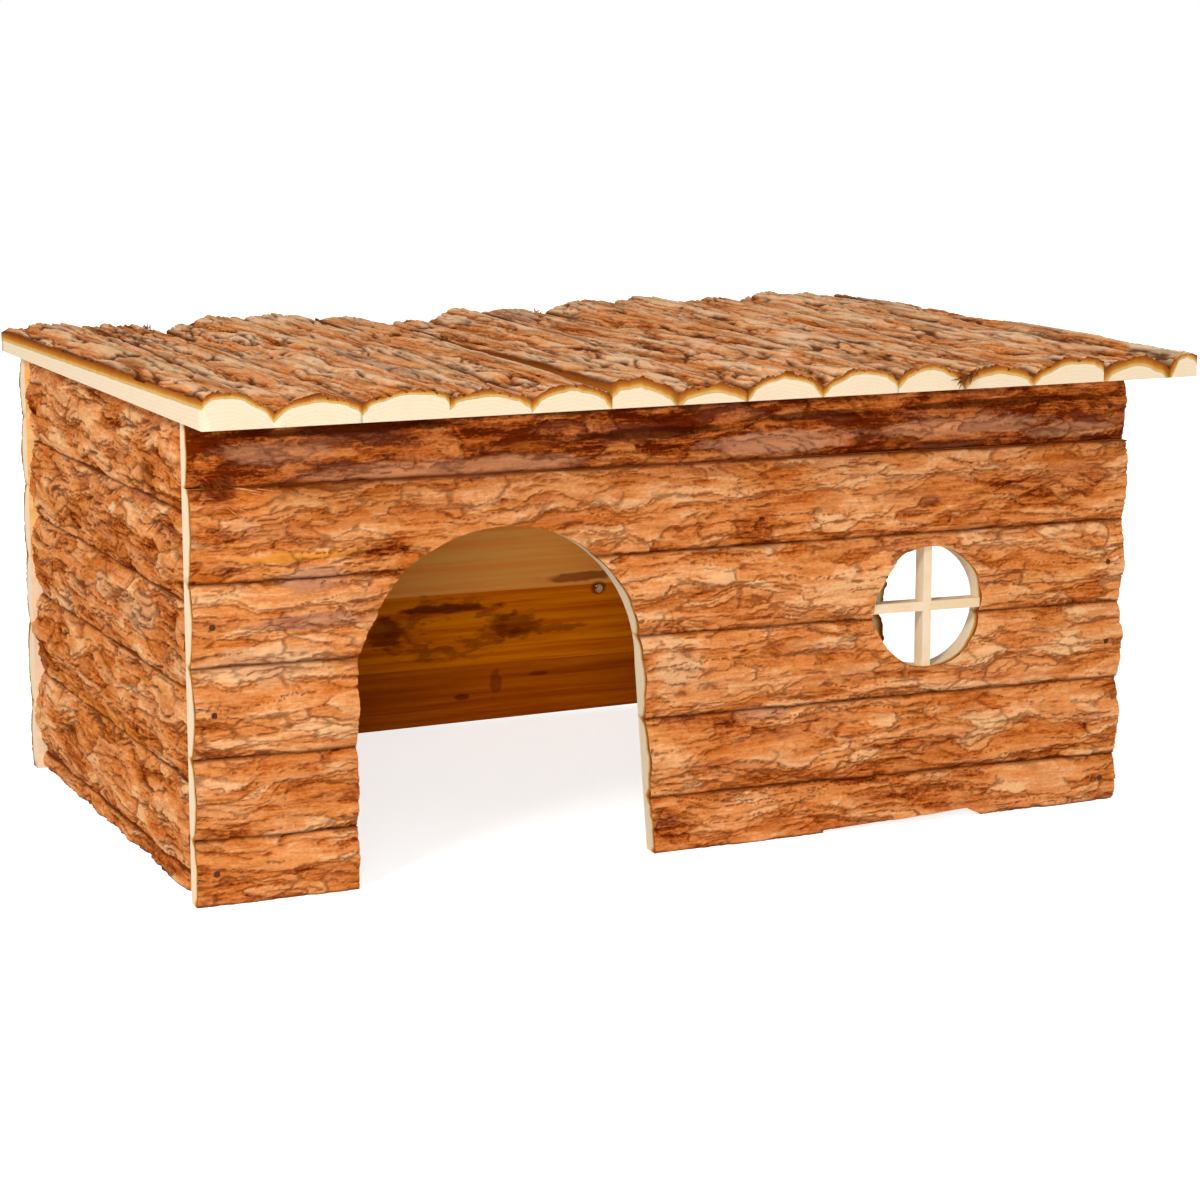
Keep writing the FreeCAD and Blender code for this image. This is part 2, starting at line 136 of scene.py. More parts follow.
Panel = namedtuple("Panel", "name along across outward bark cell layers tones brads")
X_AXIS = Vector((1, 0, 0))
Y_AXIS = Vector((0, 1, 0))
Z_AXIS = Vector((0, 0, 1))
PANELS = (
    Panel("roof", Y_AXIS, X_AXIS, Z_AXIS, ROOF_BARK, 0.6 * MM, ROOF_LAYERS, ROOF_TONES, "roof_brads"),
    Panel("front", X_AXIS, -Z_AXIS, -Y_AXIS, FRONT_BARK, 0.5 * MM, WALL_LAYERS, FRONT_TONES,
          "front_wall_brads"),
    Panel("left_side", Y_AXIS, -Z_AXIS, -X_AXIS, SIDE_BARK, 0.55 * MM, WALL_LAYERS, LEFT_TONES, None),
    Panel("right_side", Y_AXIS, -Z_AXIS, X_AXIS, SIDE_BARK, 0.8 * MM, WALL_LAYERS, PLAIN_TONES, None),
    Panel("back", X_AXIS, -Z_AXIS, Y_AXIS, FRONT_BARK, 0.8 * MM, WALL_LAYERS, PLAIN_TONES,
          "back_wall_brads"),
)


# ---- torn fibres ----
# Where a tuft of slivers grows, in mm from the low corner of its board's box, which way they point, how far
# their feet spread, their length and count, and how dark they are.
Tuft = namedtuple("Tuft", "node place aim reach length count dark", defaults=(0.0,))
SLIVER_SIDES = 3
SLIVER_RINGS = ((0.0, 0.45), (0.5, 0.32))  # share of the length, and radius in mm
SLIVER_FACES = SLIVER_SIDES * len(SLIVER_RINGS) + 1
SLIVER_ROOT = 0.3 * MM  # a sliver starts at least this far under the bark
SLIVER_SPREAD = 0.2  # how far the slivers of a tuft point apart
SLIVER_TONES = (0.2, -0.5)  # how much lighter than usual bark a pale torn fibre is, and a dark one
SLIVER_LENGTHS = (0.4, 1.0)  # shares of the tuft's length
SLIVER_DARKS = (0.6, 1.0)  # shares of the tuft's darkness
TUFTS = (
    Tuft("front_board_1", (9.25, -2.6, 4.8), (0.6, -0.4, -0.5), (5.0, 0.8, 4.0), 9.0, 50, 0.7),
    Tuft("front_board_1", (12.25, -2.6, 1.8), (0.95, -0.25, -0.25), (9.0, 0.8, 2.5), 17.0, 34),
    Tuft("front_board_2", (7.25, -0.15, 31.2), (0.7, -0.5, 0.2), (4.0, 0.8, 3.0), 9.0, 18, 0.2),
    Tuft("roof_board_11", (3.35, 0.6, 12.5), (-0.85, -0.35, -0.45), (4.0, 0.5, 0.5), 8.0, 44, 0.85),
    Tuft("roof_board_02", (38.45, 294.4, 11.5), (0.3, 0.3, 0.5), (3.0, 1.5, 1.0), 4.5, 16, 0.8),
    Tuft("roof_board_06", (-5.25, 294.4, 11.5), (-0.3, 0.3, 0.6), (3.0, 1.5, 1.0), 5.0, 16, 0.6),
    Tuft("roof_board_09", (3.75, 294.4, 11.5), (0.3, 0.3, 0.5), (3.0, 1.5, 1.0), 4.0, 12, 0.6),
    Tuft("roof_board_11", (7.25, 294.4, 12.5), (-0.2, 0.3, 0.5), (3.0, 1.5, 1.0), 4.0, 12, 0.6),
    Tuft("roof_board_14", (9.15, 5.6, 9.5), (0.5, -0.5, 0.5), (1.0, 2.0, 1.0), 3.5, 9),
)


# ---- noise ----
# Seeds may be any whole numbers, and each pattern adds its own number to its board's seed.
TABLE = np.random.default_rng(7).permutation(256)
TURN = np.linspace(0.0, 2 * math.pi, 256, endpoint=False)
GRADIENT_X = np.cos(TURN)
GRADIENT_Y = np.sin(TURN)
JITTER = np.random.default_rng(11).uniform(0.1, 0.9, (256, 2))
FAR_CELL = 9.0  # cells away, farther than any point that cells() looks at


def corner_hash(x, y, seed):
    """A number from 0 to 255 for each corner of the noise's grid."""
    return TABLE[(TABLE[(x + 37 * seed) & 255] + y + 11 * seed) & 255]


def perlin(x, y, seed):
    """Gradient noise between about -1 and 1."""
    x_cell = np.floor(x).astype(np.int64)
    y_cell = np.floor(y).astype(np.int64)
    x_in = x - x_cell
    y_in = y - y_cell
    x_fade = x_in ** 3 * (x_in * (6 * x_in - 15) + 10)
    y_fade = y_in ** 3 * (y_in * (6 * y_in - 15) + 10)

    def corner(right, up):
        pick = corner_hash(x_cell + right, y_cell + up, seed)
        return GRADIENT_X[pick] * (x_in - right) + GRADIENT_Y[pick] * (y_in - up)

    low = corner(0, 0) + x_fade * (corner(1, 0) - corner(0, 0))
    high = corner(0, 1) + x_fade * (corner(1, 1) - corner(0, 1))
    return 1.5 * (low + y_fade * (high - low))


def fractal(x, y, seed, octaves):
    """Noise with finer noise on it, each octave half as large and half as high."""
    total = np.zeros_like(x)
    for octave in range(octaves):
        total += perlin(x * 2 ** octave, y * 2 ** octave, seed + 5 * octave) / 2 ** octave
    return total


def grain_noise(along, across, size, seed, octaves):
    """Fractal noise whose features have a size along and across the grain."""
    return fractal(along / size[0], across / size[1], seed, octaves)


def cells(x, y, seed):
    """Voronoi cells: the second nearest point's lead, the cell's number, and the way from its point."""
    x_cell = np.floor(x).astype(np.int64)
    y_cell = np.floor(y).astype(np.int64)
    nearest = np.full(x.shape, FAR_CELL)
    second = np.full(x.shape, FAR_CELL)
    owner = np.zeros(x.shape)
    down = np.zeros(x.shape)
    for right in (-1, 0, 1):
        for up in (-1, 0, 1):
            pick = corner_hash(x_cell + right, y_cell + up, seed)
            y_way = y - (y_cell + up + JITTER[pick, 1])
            distance = np.hypot(x_cell + right + JITTER[pick, 0] - x, y_way)
            closer = distance < nearest
            second = np.where(closer, nearest, np.minimum(second, distance))
            owner = np.where(closer, pick / 255.0, owner)
            down = np.where(closer, y_way, down)
            nearest = np.minimum(nearest, distance)
    return second - nearest, owner, down


def ease(low, high, value):
    """0 below low and 1 above high, with a smooth step between; low may be the larger."""
    share = np.clip((value - low) / (high - low), 0.0, 1.0)
    return share * share * (3 - 2 * share)


# ---- bark ----
def ragged_grain(along, across, seed, bark):
    """Places in the grain, which drifts, wanders and is ragged."""
    drift = grain_noise(along, across, DRIFT_SIZE, seed + 1, 2)
    ragged = grain_noise(along, across, RAGGED_SIZE, seed + 2, 3)
    wander = grain_noise(along, across, WANDER_SIZE, seed + 3, 2)
    jag = grain_noise(along, across, JAG_SIZE, seed + 4, 3)
    x = along + DRIFT * drift + RAGGED * bark.jag * ragged
    return x, across + bark.wander * wander + bark.jag * jag


def sheets(x, y, seed, bark):
    """The share of the sheets that is left, and the shade just below their edges, which is painted as a
    shadow.
    """
    def left(y_place):
        return fractal(x / bark.sheet_length, y_place / bark.sheet_width, seed + 9, bark.octaves)

    here = left(y)
    above = left(y - EDGE_SHADE)
    level = np.zeros_like(here)
    shade = np.zeros_like(here)
    for edge in SHEET_EDGES:
        on = ease(edge - SHEET_FADE, edge + SHEET_FADE, here)
        level += on / len(SHEET_EDGES)
        shade = np.maximum(shade, ease(edge - SHEET_FADE, edge + SHEET_FADE, above) * (1 - on))
    return level, shade


def fissures(x, y, torn, seed, bark):
    """Long splits where the bark is torn, 1 at their floors."""
    large = perlin(x / FISSURE_SIZE[0], y / FISSURE_SIZE[1], seed + 10)
    small = perlin(x / SMALL_FISSURE_SIZE[0], y / SMALL_FISSURE_SIZE[1], seed + 11)
    return ease(bark.gap, FISSURE_FLOOR * bark.gap, np.abs(large + SMALL_FISSURES * small)) * torn


def strands(x, y, seed, bark):
    """Noise drawn out along the grain."""
    strand_x = x / bark.strand_length
    strand_y = y / bark.strand_width
    finer_x, finer_y, share = FINE_STRANDS
    fine = perlin(finer_x * strand_x, finer_y * strand_y, seed + 16)
    return perlin(strand_x, strand_y, seed + 15) + share * fine


def bark_relief(along, across, seed, bark):
    """Height over the smooth bark in mm, and the marks that colour it, at places in mm."""
    x, y = ragged_grain(along, across, seed, bark)
    level, shade = sheets(x, y, seed, bark)
    loose = ease(*LOOSE_LEVELS, grain_noise(along, across, LOOSE_SIZE, seed + 6, 3) + bark.loose)
    lead, owner, down = cells(x / bark.flake_length, y / bark.flake_width, seed + 7)
    flake = (owner - 0.5) * loose
    torn = ease(*TORN_LEVELS, grain_noise(along, across, TORN_SIZE, seed + 12, 2) + bark.split)
    cut = np.maximum(CRACK_SHARE * ease(*CRACK_LEADS, lead) * loose, fissures(x, y, torn, seed, bark))
    strand = strands(x, y, seed, bark)
    furrow = ease(*FURROW_LEVELS, strand) * bark.stringy
    fine = fractal(x / (FINE_SIZE[0] + FINE_STRETCH * bark.stringy), y / FINE_SIZE[1], seed + 13, 3)
    height = SHEET_STACK * (level - 0.5) + FLAKE_STEP * flake + FLAKE_TILT * down * loose
    height += FINE_HEIGHT * fine + STRAND_HEIGHT * bark.stringy * np.clip(strand, *STRAND_RANGE)
    height -= CUT_DEPTH * cut + SHADE_DEPTH * shade
    # The dark mark below holds cracks, fissures and furrows, and the painted shadow just below the sheets'
    # edges.
    marks = {
        "level": level,
        "crack": np.maximum.reduce([cut, SHADE_DARKNESS * shade, FURROW_DARKNESS * furrow]),
        "flake": 0.5 + flake,
        "strand": bark.stringy * strand,
    }
    return bark.rough * height, marks


# ---- meshes ----
def read(items, name, width=1, kind=float):
    """One value for each item of a mesh, or a row of values."""
    values = np.empty(len(items) * width, kind)
    items.foreach_get(name, values)
    return values if width == 1 else values.reshape(-1, width)


def islands(mesh):
    """The vertices of each separate solid in a mesh, as arrays of places."""
    work = bmesh.new()
    work.from_mesh(mesh)
    bmesh.ops.remove_doubles(work, verts=work.verts, dist=WELD)
    waiting = set(work.verts)
    found = []
    while waiting:
        reached = [waiting.pop()]
        for vert in reached:
            for edge in vert.link_edges:
                other = edge.other_vert(vert)
                if other in waiting:
                    waiting.remove(other)
                    reached.append(other)
        found.append(np.array([vert.co for vert in reached]))
    work.free()
    return found


class Board:
    """One log of a panel: its smooth outside as its solids have it, with bark on it."""

    SEED_START = 1000
    SEED_STEP = 97
    SEED_LETTER_STEP = 13
    ALONG_STEPS = 200
    ACROSS_STEPS = 65
    END_SLIP = 0.0005  # shares of the length and width by which the samples keep off the edges
    SIDE_SLIP = 0.004
    HOLE_STEP = 0.35 * MM  # a ray that lands this far below its neighbours has met a hole
    HOLE_REACH = 8  # steps along the board to either side that count as neighbours

    def __init__(self, panel, number, nodes):
        self.panel = panel
        self.seed = self.SEED_START + (self.SEED_STEP + self.SEED_LETTER_STEP * len(panel.name)) * number
        self.basis = np.array([panel.along, panel.across, panel.outward])
        points = np.vstack([self.local(node) for node in nodes])
        self.inner = points[:, 2].min()
        self.start = points[:, 0].min()
        self.end = points[:, 0].max()
        self.near = self.edges(points, self.start)
        self.far = self.edges(points, self.end)
        self.heights = self.sampled_heights(nodes)
        self.layer = panel.layers[number - 1]
        self.tone = panel.tones[number - 1]
        self.heads = self.brad_heads()

    def brad_heads(self):
        """The centre along and across, and the top over the inner plane, of each head in the panel."""
        heads = []
        if self.panel.brads:
            for brad in islands(NODES[self.panel.brads].data):
                low, high = (brad @ self.basis.T).min(axis=0), (brad @ self.basis.T).max(axis=0)
                heads.append((*(low + high)[:2] / 2, high[2] - self.inner))
        return heads

    def local(self, node):
        """A node's vertices as distances along, across and outward."""
        return read(NODES[node].data.vertices, "co", 3) @ self.basis.T

    def edges(self, points, end):
        """Where the board's two long edges are at one of its ends."""
        section = points[np.abs(points[:, 0] - end) < TINY]
        return section[:, 1].min(), section[:, 1].max()

    def sampled_heights(self, nodes):
        """The height of the solids' bark side on an even grid, without the holes in it."""
        gathered = bmesh.new()
        for node in nodes:
            gathered.from_mesh(NODES[node].data)
        tree = BVHTree.FromBMesh(gathered)
        gathered.free()
        heights = np.zeros((self.ALONG_STEPS, self.ACROSS_STEPS))
        inward = -self.panel.outward
        for i, share in enumerate(np.linspace(self.END_SLIP, 1 - self.END_SLIP, self.ALONG_STEPS)):
            along = self.start + (self.end - self.start) * share
            first, second = self.edges_at(share)
            for j, place in enumerate(np.linspace(self.SIDE_SLIP, 1 - self.SIDE_SLIP, self.ACROSS_STEPS)):
                across = first + (second - first) * place
                start = Vector(np.array([along, across, self.inner + RAY_START]) @ self.basis)
                landing = tree.ray_cast(start, inward)[0]
                if landing is not None:
                    heights[i, j] = landing.dot(self.panel.outward) - self.inner
        return self.with_holes_filled(heights)

    def with_holes_filled(self, heights):
        """The heights without those that lie deep below their neighbours along the board."""
        reach = ((self.HOLE_REACH, self.HOLE_REACH), (0, 0))
        padded = np.pad(np.where(heights > TINY, heights, np.inf), reach, mode="edge")
        nearby = np.sort(sliding_window_view(padded, 2 * self.HOLE_REACH + 1, axis=0), axis=2)
        met = np.isfinite(nearby).sum(axis=2, keepdims=True)
        usual = np.take_along_axis(nearby, np.maximum(met - 1, 0) // 2, axis=2)[:, :, 0]
        steps = np.arange(self.ALONG_STEPS)
        for j in range(self.ACROSS_STEPS):
            line = heights[:, j]
            sound = (line > TINY) & (line > usual[:, j] - self.HOLE_STEP)
            heights[:, j] = np.interp(steps, steps[sound], line[sound])
        return heights

    def edges_at(self, share):
        """Where the board's two long edges are at a share of its length."""
        return [near + (far - near) * share for near, far in zip(self.near, self.far)]

    def dome(self, along, across):
        """The smooth height at places on the board, read between the samples."""
        share = (along - self.start) / (self.end - self.start)
        first, second = self.edges_at(share)
        i = np.clip(share, 0, 1) * (self.ALONG_STEPS - 1)
        j = np.clip((across - first) / (second - first), 0, 1) * (self.ACROSS_STEPS - 1)
        i_low = np.minimum(i.astype(int), self.ALONG_STEPS - 2)
        j_low = np.minimum(j.astype(int), self.ACROSS_STEPS - 2)
        i_part = i - i_low
        j_part = j - j_low
        near = self.heights[i_low, j_low] * (1 - j_part) + self.heights[i_low, j_low + 1] * j_part
        far = self.heights[i_low + 1, j_low] * (1 - j_part) + self.heights[i_low + 1, j_low + 1] * j_part
        return near + (far - near) * i_part

    def surface(self, along, across):
        """The bark's height over the inner plane, and the marks on it."""
        relief, marks = bark_relief(along / MM, across / MM, self.seed, self.panel.bark)
        height = self.dome(along, across) + relief * MM
        for head_along, head_across, head_top in self.heads:
            away = np.hypot(along - head_along, across - head_across)
            pit = ease(PIT_RADIUS + PIT_SLOPE, PIT_RADIUS, away)
            height += pit * np.minimum(head_top - PIT_FLOOR - height, 0.0)
            # paints shade in the pit over each brad's head
            marks["crack"] = np.maximum(marks["crack"], PIT_PAINTED_SHADE * pit)
        return height, marks


def new_object(name, data):
    """An object in the scene."""
    piece = bpy.data.objects.new(name, data)
    bpy.context.scene.collection.objects.link(piece)
    return piece


def blanket(board, low, high):
    """A closed block whose outer side is the board's bark, over its box from low to high."""
    cell = board.panel.cell
    counts = [max(4, int((high[k] - low[k] + 2 * BLANKET_MARGIN) / cell)) for k in (0, 1)]
    lines = [np.linspace(low[k] - BLANKET_MARGIN, high[k] + BLANKET_MARGIN, counts[k]) for k in (0, 1)]
    along, across = [grid.ravel() for grid in np.meshgrid(*lines, indexing="ij")]
    outward, _ = board.surface(along, across)
    top = np.stack([along, across, board.inner + outward], axis=1)
    index = np.arange(len(top)).reshape(counts)
    rim = np.concatenate([index[:-1, 0], index[-1, :-1], index[:0:-1, -1], index[0, :0:-1]])
    foot = top[rim].copy()
    foot[:, 2] = board.inner - BLANKET_MARGIN
    foot_index = len(top) + np.arange(len(rim))
    quads = np.stack([index[:-1, :-1], index[1:, :-1], index[1:, 1:], index[:-1, 1:]], axis=-1)
    sides = np.stack([np.roll(rim, -1), rim, foot_index, np.roll(foot_index, -1)], axis=1)
    faces = quads.reshape(-1, 4).tolist() + sides.tolist() + [foot_index[::-1].tolist()]
    points = np.vstack([top, foot]) @ board.basis
    if np.linalg.det(board.basis) < 0:
        faces = [face[::-1] for face in faces]
    mesh = bpy.data.meshes.new("blanket")
    mesh.from_pydata(points.tolist(), [], faces)
    return new_object("blanket", mesh)


def trimming_prism(board, node, low, high):
    """The outline of a node's sawn inner face, drawn outward past the bark."""
    work = bmesh.new()
    work.from_mesh(NODES[node].data)
    bmesh.ops.remove_doubles(work, verts=work.verts, dist=WELD)
    outward = board.panel.outward
    off_plane = [face for face in work.faces
                 if any(abs(vert.co.dot(outward) - board.inner) > TINY for vert in face.verts)]
    bmesh.ops.delete(work, geom=off_plane, context="FACES")
    bmesh.ops.dissolve_limit(work, angle_limit=FLAT_ANGLE, verts=work.verts, edges=work.edges)
    spans = ((board.panel.along, low[0], high[0]), (board.panel.across, low[1], high[1]))
    for axis, start, end in spans:
        for place in np.arange(start + WALL_CELL, end - WALL_CELL / 2, WALL_CELL):
            bmesh.ops.bisect_plane(work, geom=work.verts[:] + work.edges[:] + work.faces[:],
                                   plane_co=axis * place, plane_no=axis, dist=WELD / 2)
    drawn = bmesh.ops.extrude_face_region(work, geom=work.faces[:], use_keep_orig=True)
    raised = [item for item in drawn["geom"] if isinstance(item, bmesh.types.BMVert)]
    bmesh.ops.translate(work, verts=raised, vec=outward * (high[2] - low[2] + PRISM_ROOM))
    bmesh.ops.recalc_face_normals(work, faces=work.faces)
    mesh = bpy.data.meshes.new("prism")
    work.to_mesh(mesh)
    work.free()
    return new_object("prism", mesh)


def trimmed(block, prism):
    """The mesh of the block inside the prism."""
    trim = block.modifiers.new("trim", "BOOLEAN")
    trim.operation = "INTERSECT"
    trim.solver = "MANIFOLD"
    trim.object = prism
    graph = bpy.context.evaluated_depsgraph_get()
    mesh = bpy.data.meshes.new_from_object(block.evaluated_get(graph))
    for helper in (block, prism):
        bpy.data.meshes.remove(helper.data)
    return mesh


def sliver(work, foot, way, droop, length):
    """Adds one closed sliver, which bends and tapers from its foot to its tip."""
    side = way.orthogonal().normalized()
    turn = Matrix.Rotation(2 * math.pi / SLIVER_SIDES, 3, way)
    rings = []
    for share, radius in SLIVER_RINGS:
        middle = foot + (way * share + droop * share * share) * length
        ring = []
        for _ in range(SLIVER_SIDES):
            ring.append(work.verts.new(middle + side * radius * MM))
            side = turn @ side
        rings.append(ring)
    tip = work.verts.new(foot + (way + droop) * length)
    for low_ring, high_ring in zip(rings, rings[1:]):
        for k in range(SLIVER_SIDES):
            work.faces.new((low_ring[k - 1], low_ring[k], high_ring[k], high_ring[k - 1]))
    for k in range(SLIVER_SIDES):
        work.faces.new((rings[-1][k - 1], rings[-1][k], tip))
    work.faces.new(rings[0][::-1])


def add_tufts(mesh, board, tufts):
    """Torn fibres of bark, rooted in the board. Returns how dark each added vertex is."""
    chance = np.random.default_rng(board.seed)
    work = bmesh.new()
    work.from_mesh(mesh)
    darkness = []
    for tuft in tufts:
        middle = np.array(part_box(tuft.node)[0]) + np.array(tuft.place) * MM
        for _ in range(tuft.count):
            before = len(work.verts)
            foot = (middle + chance.uniform(-1, 1, 3) * tuft.reach * MM) @ board.basis.T
            surface, _ = board.surface(foot[:1], foot[1:2])
            foot[2] = min(foot[2], board.inner + surface[0] - SLIVER_ROOT)
            way = (Vector(tuft.aim) + Vector(chance.normal(0.0, SLIVER_SPREAD, 3))).normalized()
            droop = Vector(chance.normal(0.0, SLIVER_SPREAD, 3))
            length = tuft.length * chance.uniform(*SLIVER_LENGTHS) * MM
            sliver(work, Vector(foot @ board.basis), way, droop, length)
            darkness += [tuft.dark * chance.uniform(*SLIVER_DARKS)] * (len(work.verts) - before)
    work.to_mesh(mesh)
    work.free()
    return darkness


def set_attribute(mesh, name, values):
    """Gives each vertex a number that a material reads by its name."""
    layer = mesh.attributes.new(name, "FLOAT", "POINT")
    layer.data.foreach_set("value", values.astype(np.float32))


def mark_board(mesh, board, darkness):
    """Writes what the materials read; depths are in mm, square to the bark. The last vertices are tufts."""
    along, across, outward = (read(mesh.vertices, "co", 3) @ board.basis.T).T
    _, marks = board.surface(along, across)
    rise = board.dome(along, across + SLOPE_REACH) - board.dome(along, across - SLOPE_REACH)
    squared = np.hypot(1, rise / (2 * SLOPE_REACH)) * MM
    first, second = board.edges_at((along - board.start) / (board.end - board.start))
    from_joint = np.minimum(across - first, second - across) / MM
    marks["depth"] = (board.dome(along, across) - (outward - board.inner)) / squared
    change = perlin(along / SEAM_CHANGE, 0 * along, board.seed + 17)
    # How near a joint is: the bark paints shade there, and cut faces show thicker bark.
    marks["joint"] = ease(1.0, 0.0, from_joint / board.panel.bark.seam / (1 + SEAM_VARIETY * change))
    plain = {"board": board.seed % SHADES / SHADES, "layer": board.layer, "tone": board.tone}
    marks.update({name: np.full(len(along), value) for name, value in plain.items()})
    if darkness:
        marks["crack"][-len(darkness):] = darkness
        marks["joint"][-len(darkness):] = 0.0
        marks["tone"][-len(darkness):] = np.interp(darkness, (0.0, 1.0), SLIVER_TONES)
    for name, values in marks.items():
        set_attribute(mesh, name, values)


def mark_cuts(mesh, board, sliver_faces):
    """Marks the faces that were cut through the bark, and breaks the shading between them and the bark."""
    is_cut = np.abs(read(mesh.polygons, "normal", 3) @ np.array(board.panel.outward)) < CUT_SLANT
    is_cut[len(is_cut) - sliver_faces:] = False
    layer = mesh.attributes.new("cut", "FLOAT", "FACE")
    layer.data.foreach_set("value", is_cut.astype(np.float32))
    edges = read(mesh.loops, "edge_index", kind=np.int32)
    corner_cut = np.repeat(is_cut, read(mesh.polygons, "loop_total", kind=np.int32))
    touches_cut = np.zeros(len(mesh.edges), bool)
    touches_bark = np.zeros(len(mesh.edges), bool)
    touches_cut[edges[corner_cut]] = True
    touches_bark[edges[~corner_cut]] = True
    sharp = read(mesh.edges, "use_edge_sharp", kind=bool)
    mesh.edges.foreach_set("use_edge_sharp", sharp | (touches_cut & touches_bark))


def split_materials(mesh, board, bark_material, sawn_material):
    """Slot 0 is bark and cut ends, slot 1 the flat sawn face towards the room."""
    mesh.materials.clear()
    mesh.materials.append(bark_material)
    mesh.materials.append(sawn_material)
    outward = read(mesh.polygons, "center", 3) @ np.array(board.panel.outward)
    mesh.polygons.foreach_set("material_index", (outward < board.inner + TINY).astype(np.int32))
    mesh.polygons.foreach_set("use_smooth", np.ones(len(mesh.polygons), bool))
    mesh.set_sharp_from_angle(angle=CREASE_ANGLE)


def dress_board(board, node, bark_material, sawn_material):
    """Puts a bark-covered copy in the place of a board's node."""
    points = board.local(node)
    low = points.min(axis=0)
    high = points.max(axis=0)
    mesh = trimmed(blanket(board, low, high), trimming_prism(board, node, low, high))
    mesh.name = node + "_wood"
    tufts = [tuft for tuft in TUFTS if tuft.node == node]
    mark_board(mesh, board, add_tufts(mesh, board, tufts) if tufts else [])
    split_materials(mesh, board, bark_material, sawn_material)
    mark_cuts(mesh, board, sum(tuft.count for tuft in tufts) * SLIVER_FACES)
    piece = new_object(node + "_wood", mesh)
    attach(piece, "root")
    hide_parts(node)


# ---- materials ----
def rgb(red, green, blue):
    """A colour given as it looks on a screen, 0 to 255, as the shader wants it."""
    linear = [((value / 255 + 0.055) / 1.055) ** 2.4 if value > 10 else value / 255 / 12.92
              for value in (red, green, blue)]
    return (*linear, 1.0)


WHITE = (1.0, 1.0, 1.0, 1.0)
SHINE = 0.0  # specular level of raw wood and bark

# Noises: their sizes in mm along one axis and across it, and their detail, roughness and distortion.
Grain = namedtuple("Grain", "along across detail rough warp", defaults=(0.55, 0.0))
STREAK = Grain(11.0, 1.0, 5.0, 0.6)
BLOTCH = Grain(26.0, 10.0, 4.0, 0.55, 0.6)
SPECK = Grain(1.6, 0.9, 4.0, 0.65)
FRESH_PATCH = Grain(30.0, 7.0, 3.0, 0.5, 0.8)
GREY_PATCH = Grain(44.0, 8.0, 3.0, 0.5, 0.5)
FUZZ = Grain(0.9, 0.9, 3.0, 0.6)
WAVES = Grain(5.0, 5.0, 3.0)
PORES = Grain(0.6, 0.6, 2.0, 0.5)
SPOT_RIM = Grain(3.5, 9.0, 4.0, 0.6)
SAWN_GRAIN = Grain(110.0, 3.2, 5.0, 0.55, 0.3)
SAWN_FIBRE = Grain(16.0, 0.6, 3.0, 0.6)
STICK_GRAIN = Grain(1.0, 14.0, 4.0)
STICK_FIBRE = Grain(0.5, 2.0, 3.0, 0.6)
WEAR = Grain(0.4, 0.4, 4.0, 0.6)

# Fades: the values at which a colour starts to show and shows in full, and how much of it shows then.
FRESH_FADE = (0.56, 0.66, 0.5)
FRESH_LEVELS = (0.8, 0.3)
GREY_FADE = (0.52, 0.70)
SPECK_FADE = (0.64, 0.78, 0.30)
RING_FADE = (0.1, 1.0, 0.40)
WAVES_FADE = (0.5, 0.75, 0.35)
PORES_FADE = (0.64, 0.74, 0.40)
SAWN_GRAIN_FADE = (0.35, 0.68)
SAWN_FIBRE_FADE = (0.45, 0.80, 0.30)
STICK_GRAIN_FADE = (0.35, 0.7)
STICK_FIBRE_FADE = (0.6, 0.8, 0.4)
SPOT_FADE = (1.15, 0.65)  # shares of a spot's reach
HOLLOW_FADE = (-0.2, 0.1)  # to either side of a spot's hollow

# What a bark's tone is made of: its marks, its blotches, streaks and specks, and what they usually come to.
MARK_WEIGHTS = {"level": 0.34, "flake": 0.55, "strand": 0.26}
NOISE_WEIGHTS = (0.70, 0.95, 0.85)
USUAL_SUM = 1.70
# how strongly shade is painted along the joints between boards
JOINT_PAINTED_SHADE = 0.82
BARK_TURNS = 37.0  # how far apart the noises of the boards lie
SAWN_TURNS = 53.0
FRESH_TURN = 5.0  # how far the patches' noises lie from the others
GREY_TURN = 9.0

# The layers on a cut face, in mm.
FUZZ_DEPTH = 0.5  # the way that each noise moves them
WAVES_DEPTH = 1.0
JOINT_LAYER = 1.6  # the bark is this much thicker at a joint
INNER_BARK = 0.35  # the bark turns into wood over this depth
RING_WAVER = 1.4
RING_RATE = 4.2  # radians of the rings' wave in each mm
GRAIN_HEIGHT = 0.6  # share of the bark's bumps that its noises make
WOOD_HEIGHT = 0.15  # share of them that is left on bare wood


